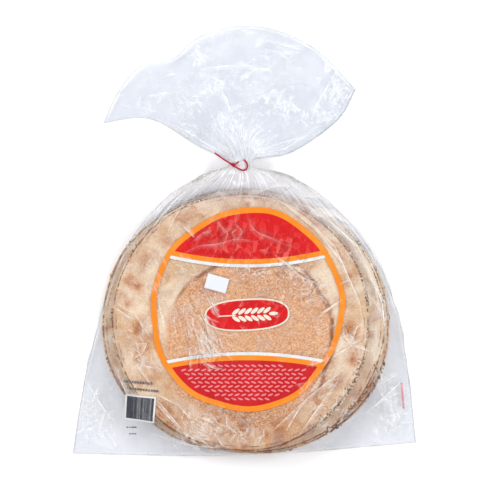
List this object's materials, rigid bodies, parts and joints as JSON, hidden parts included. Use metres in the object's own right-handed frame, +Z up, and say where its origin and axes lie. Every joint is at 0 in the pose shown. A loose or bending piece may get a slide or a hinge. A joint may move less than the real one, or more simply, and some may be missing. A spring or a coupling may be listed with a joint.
{
  "type": "bagged pita bread",
  "caption": "Flat round pocket breads stacked in a clear printed bag that is gathered and tied with a coated wire, lying on its back with a flared tail.",
  "frame": {"origin": "centre of the bag's footprint, on the surface it lies on", "axes": "+Z up, +Y along the bag from its sealed bottom to its open mouth, +X to the right seen from above with the mouth at the top"},
  "size_m": [0.347, 0.4344, 0.035],
  "materials": {
    "bread": "dry baked crust, floury, with toasted patches",
    "clear_film": "clear crinkled film",
    "coated_wire": "gloss",
    "paper": "matt"
  },
  "bodies": {
    "root": {"bread_bag": "bread", "twist_tie": "coated_wire", "price_sticker": "paper"}
  },
  "joints": []
}
